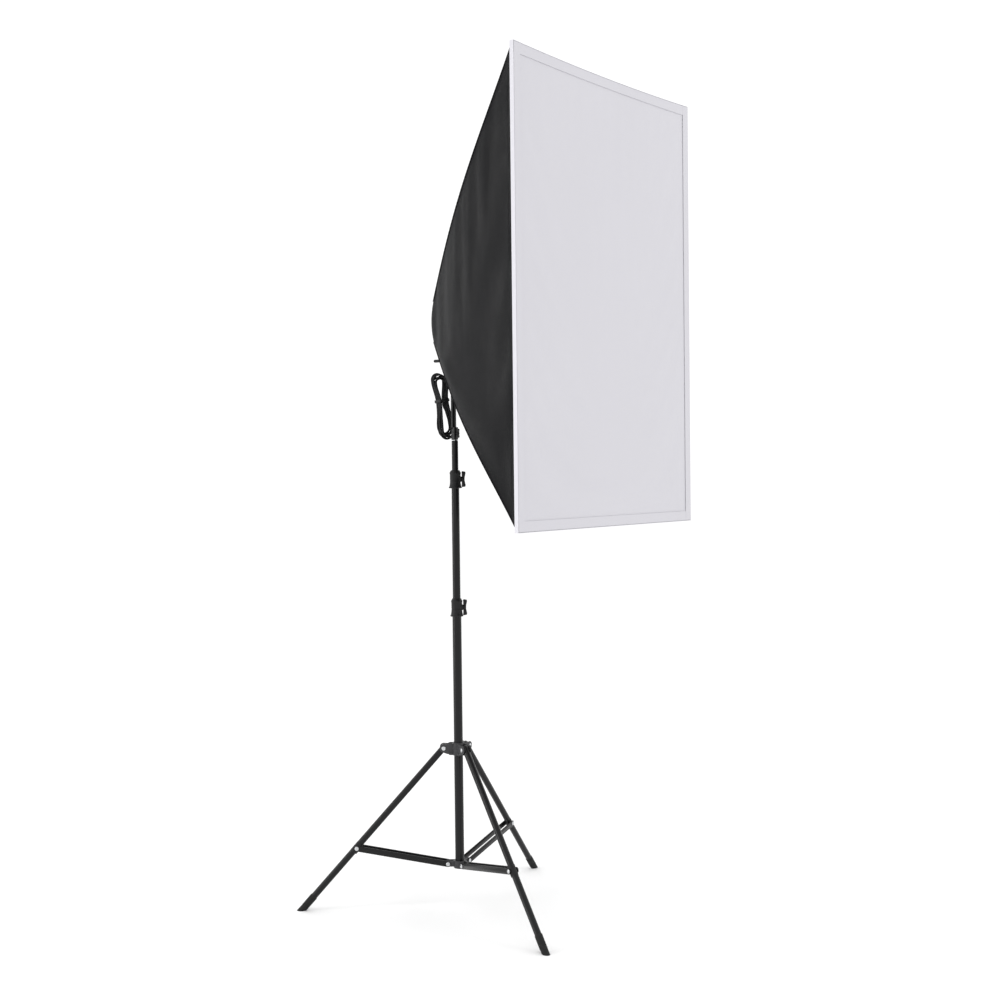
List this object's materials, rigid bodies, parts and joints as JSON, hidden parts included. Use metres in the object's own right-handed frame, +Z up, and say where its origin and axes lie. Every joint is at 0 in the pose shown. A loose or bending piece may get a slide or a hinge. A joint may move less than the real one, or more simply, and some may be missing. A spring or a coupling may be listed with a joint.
{
  "type": "studio softbox on a light stand",
  "caption": "Tall rectangular studio softbox with a white diffuser front, a lamp holder on a tilt bracket, and a folding three-legged telescopic light stand.",
  "frame": {"origin": "on the floor, under the middle of the whole object's bounding box; the pole's axis is at x = -0.070, y = -0.021", "axes": "+Z up, +X the way the light faces at rest, +Y the light's own left side"},
  "size_m": [0.7699, 0.747, 1.9476],
  "materials": {
    "black_metal": "satin black powder coat",
    "black_plastic": "fine-grained moulded black",
    "rubber": "matt black",
    "steel": "bright zinc plate",
    "brass": "plain",
    "black_fabric": "coated woven nylon, slight sheen",
    "white_fabric": "white translucent woven diffuser",
    "spring_rod": "glass-fibre rod",
    "ceramic": "glazed",
    "white_plastic": "smooth",
    "lamp_glass": "white phosphor behind clear glass"
  },
  "bodies": {
    "stand_base": {"lower_tube": "black_metal", "lower_lock_collar": "black_plastic", "brace_hub": "black_plastic", "brace_rivet_1": "steel", "brace_rivet_2": "steel", "brace_rivet_3": "steel"},
    "lower_knob": {"lower_lock_knob": "black_plastic"},
    "leg_hub": {"leg_hub": "black_plastic", "leg_rivet_1": "steel", "leg_rivet_2": "steel", "leg_rivet_3": "steel"},
    "hub_knob": {"leg_hub_knob": "black_plastic"},
    "middle_column": {"middle_tube": "black_metal", "middle_tube_glide": "black_plastic", "upper_lock_collar": "black_plastic"},
    "upper_knob": {"upper_lock_knob": "black_plastic"},
    "top_column": {"top_tube": "black_metal", "top_tube_glide": "black_plastic", "stand_stud": "steel"},
    "bracket": {"tilt_bracket": "black_metal", "tilt_bolt": "steel", "cord_lead": "rubber", "cord_hank": "rubber", "cord_tail": "rubber", "cord_tie": "black_plastic", "plug": "black_plastic"},
    "socket_screw": {"socket_screw": "steel"},
    "tilt_handle": {"tilt_handle": "black_plastic"},
    "lamp_head": {"lamp_housing": "black_plastic", "rib_plate": "black_plastic", "lamp_socket": "ceramic", "socket_shell": "brass", "left_panel": "black_fabric", "right_panel": "black_fabric", "top_panel": "black_fabric", "bottom_panel": "black_fabric", "rear_cuff": "black_fabric", "rib_upper_left": "spring_rod", "rib_upper_right": "spring_rod", "rib_lower_left": "spring_rod", "rib_lower_right": "spring_rod", "strain_relief": "rubber"},
    "lamp": {"bulb_base": "brass", "lamp_ballast": "white_plastic", "lamp_spiral": "lamp_glass"},
    "diffuser": {"front_diffuser": "white_fabric"},
    "leg_1": {"leg_tube_1": "black_metal", "foot_1": "rubber"},
    "brace_1": {"brace_1_left": "black_metal", "brace_1_right": "black_metal"},
    "leg_2": {"leg_tube_2": "black_metal", "foot_2": "rubber"},
    "brace_2": {"brace_2_left": "black_metal", "brace_2_right": "black_metal"},
    "leg_3": {"leg_tube_3": "black_metal", "foot_3": "rubber"},
    "brace_3": {"brace_3_left": "black_metal", "brace_3_right": "black_metal"}
  },
  "joints": [
    {"name": "legs_fold", "type": "slide", "parent": "stand_base", "child": "leg_hub", "axis": [0, 0, 1], "range_m": [0, 0.2662]},
    {"name": "hub_knob_turn", "type": "hinge", "parent": "leg_hub", "child": "hub_knob", "pos_m": [-0.04913, -0.0055, 0.396], "axis": [0.8028, 0.5962, 0], "range_deg": [0, 360]},
    {"name": "leg_1_hinge", "type": "hinge", "parent": "leg_hub", "child": "leg_1", "pos_m": [-0.0752, 0.01462, 0.396], "axis": [-0.9895, -0.1444, 0], "range_deg": [0, 41.8]},
    {"name": "brace_1_hinge", "type": "hinge", "parent": "stand_base", "child": "brace_1", "pos_m": [-0.07413, 0.0073, 0.1114], "axis": [-0.9895, -0.1444, 0], "range_deg": [-77.7, 0]},
    {"name": "leg_2_hinge", "type": "hinge", "parent": "leg_hub", "child": "leg_2", "pos_m": [-0.09825, -0.04331, 0.396], "axis": [0.6198, -0.7848, 0], "range_deg": [0, 41.8]},
    {"name": "brace_2_hinge", "type": "hinge", "parent": "stand_base", "child": "brace_2", "pos_m": [-0.09244, -0.03873, 0.1114], "axis": [0.6198, -0.7848, 0], "range_deg": [-77.7, 0]},
    {"name": "leg_3_hinge", "type": "hinge", "parent": "leg_hub", "child": "leg_3", "pos_m": [-0.03655, -0.03431, 0.396], "axis": [0.3697, 0.9291, 0], "range_deg": [0, 41.8]},
    {"name": "brace_3_hinge", "type": "hinge", "parent": "stand_base", "child": "brace_3", "pos_m": [-0.04343, -0.03157, 0.1114], "axis": [0.3697, 0.9291, 0], "range_deg": [-77.7, 0]},
    {"name": "lower_knob_turn", "type": "hinge", "parent": "stand_base", "child": "lower_knob", "pos_m": [-0.05555, -0.01027, 0.74], "axis": [0.8028, 0.5962, 0], "range_deg": [0, 360]},
    {"name": "middle_slide", "type": "slide", "parent": "stand_base", "child": "middle_column", "axis": [0, 0, 1], "range_m": [-0.267, 0.234]},
    {"name": "upper_knob_turn", "type": "hinge", "parent": "middle_column", "child": "upper_knob", "pos_m": [-0.05555, -0.01027, 1.053], "axis": [0.8028, 0.5962, 0], "range_deg": [0, 360]},
    {"name": "top_slide", "type": "slide", "parent": "middle_column", "child": "top_column", "axis": [0, 0, 1], "range_m": [-0.066, 0.434]},
    {"name": "head_pan", "type": "hinge", "parent": "top_column", "child": "bracket", "pos_m": [-0.07, -0.021, 1.165], "axis": [0, 0, 1], "continuous": true},
    {"name": "socket_screw_turn", "type": "hinge", "parent": "bracket", "child": "socket_screw", "pos_m": [-0.059, -0.021, 1.16465], "axis": [1, 0, 0], "range_deg": [0, 360]},
    {"name": "tilt_handle_turn", "type": "hinge", "parent": "bracket", "child": "tilt_handle", "pos_m": [-0.073, -0.0405, 1.341], "axis": [0, 1, 0], "range_deg": [-30, 0]},
    {"name": "head_tilt", "type": "hinge", "parent": "bracket", "child": "lamp_head", "pos_m": [-0.073, -0.021, 1.341], "axis": [0, 1, 0], "range_deg": [-45, 35], "deforming": ["cord_lead"]},
    {"name": "lamp_unscrew", "type": "hinge", "parent": "lamp_head", "child": "lamp", "pos_m": [-0.01, -0.021, 1.4336], "axis": [1, 0, 0], "range_deg": [0, 1080]},
    {"name": "diffuser_off", "type": "slide", "parent": "lamp_head", "child": "diffuser", "axis": [1, 0, 0], "range_m": [0, 0.12]}
  ],
  "couplings": [
    {"joint": "leg_1_hinge", "follows": "legs_fold", "rad_per_m": 2.734},
    {"joint": "brace_1_hinge", "follows": "legs_fold", "rad_per_m": -5.0864},
    {"joint": "leg_2_hinge", "follows": "legs_fold", "rad_per_m": 2.734},
    {"joint": "brace_2_hinge", "follows": "legs_fold", "rad_per_m": -5.0864},
    {"joint": "leg_3_hinge", "follows": "legs_fold", "rad_per_m": 2.734},
    {"joint": "brace_3_hinge", "follows": "legs_fold", "rad_per_m": -5.0864}
  ]
}
